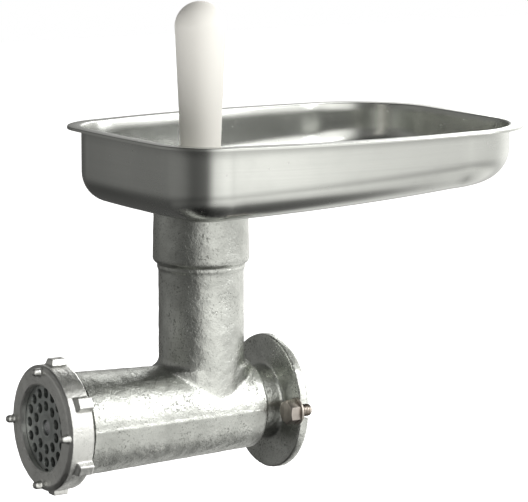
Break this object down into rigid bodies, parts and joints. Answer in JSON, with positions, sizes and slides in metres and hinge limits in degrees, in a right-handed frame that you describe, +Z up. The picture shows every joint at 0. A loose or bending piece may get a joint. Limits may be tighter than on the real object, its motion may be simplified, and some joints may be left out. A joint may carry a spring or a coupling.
{
  "type": "meat grinder head",
  "caption": "Mincing head of an electric meat grinder: tinned barrel with neck and flange, worm, knife, plate, ring nut, feed tray and pusher.",
  "frame": {"origin": "on the barrel axis, in the rear face of the mounting flange", "axes": "+X along the barrel axis towards the drive, +Z up along the neck, the tray's length along X"},
  "size_m": [0.4014, 0.256, 0.3685],
  "materials": {
    "tinned_casting": "hot-tinned cast iron, satin with fine pits",
    "tinned_ring": "hot-tinned cast iron, polished",
    "tinned_worm": "hot-tinned cast iron, satin",
    "tray_stainless": "deep-drawn stainless sheet, satin",
    "tool_steel": "ground tool steel",
    "bright_steel": "turned bright steel",
    "screw_steel": "zinc plated steel",
    "bronze": "turned bearing bronze",
    "nylon": "plain nylon",
    "nitrile": "black nitrile rubber",
    "white_plastic": "moulded off-white plastic"
  },
  "bodies": {
    "head": {"head_casting": "tinned_casting", "rear_bush": "bronze", "thrust_washer": "nylon", "shaft_seal": "nitrile", "plate_key": "bright_steel"},
    "drive": {"worm": "tinned_worm", "worm_stud": "bright_steel", "knife": "tool_steel", "drive_tang": "bright_steel", "tang_pin": "bright_steel"},
    "plate": {"hole_plate": "tool_steel"},
    "ring": {"ring_nut": "tinned_ring"},
    "tray": {"tray_pan": "tray_stainless", "tray_spigot": "tray_stainless"},
    "pusher": {"pusher_body": "white_plastic", "pusher_cap": "white_plastic"},
    "washer_left": {"clamp_washer_left": "screw_steel"},
    "screw_left": {"clamp_screw_left": "screw_steel"},
    "washer_right": {"clamp_washer_right": "screw_steel"},
    "screw_right": {"clamp_screw_right": "screw_steel"}
  },
  "joints": [
    {"name": "worm_spin", "type": "hinge", "parent": "head", "child": "drive", "pos_m": [0, 0, 0], "axis": [-1, 0, 0], "continuous": true},
    {"name": "plate_slide", "type": "slide", "parent": "head", "child": "plate", "axis": [-1, 0, 0], "range_m": [0, 0.00601]},
    {"name": "ring_turn", "type": "hinge", "parent": "plate", "child": "ring", "pos_m": [0, 0, 0], "axis": [-1, 0, 0], "range_deg": [0, 540]},
    {"name": "tray_lift", "type": "slide", "parent": "head", "child": "tray", "axis": [0, 0, 1], "range_m": [0, 0.032]},
    {"name": "pusher_slide", "type": "slide", "parent": "tray", "child": "pusher", "axis": [0, 0, 1], "range_m": [0, 0.135]},
    {"name": "washer_left_slide", "type": "slide", "parent": "head", "child": "washer_left", "axis": [-1, 0, 0], "range_m": [0, 0.0045]},
    {"name": "screw_left_turn", "type": "hinge", "parent": "washer_left", "child": "screw_left", "pos_m": [0, 0.048, 0], "axis": [-1, 0, 0], "range_deg": [0, 1080]},
    {"name": "washer_right_slide", "type": "slide", "parent": "head", "child": "washer_right", "axis": [-1, 0, 0], "range_m": [0, 0.0045]},
    {"name": "screw_right_turn", "type": "hinge", "parent": "washer_right", "child": "screw_right", "pos_m": [0, -0.048, 0], "axis": [-1, 0, 0], "range_deg": [0, 1080]}
  ],
  "couplings": [
    {"joint": "plate_slide", "follows": "ring_turn", "m_per_rad": 0.00063662},
    {"joint": "screw_left_turn", "follows": "washer_left_slide", "rad_per_m": 4188.8},
    {"joint": "screw_right_turn", "follows": "washer_right_slide", "rad_per_m": 4188.8}
  ]
}
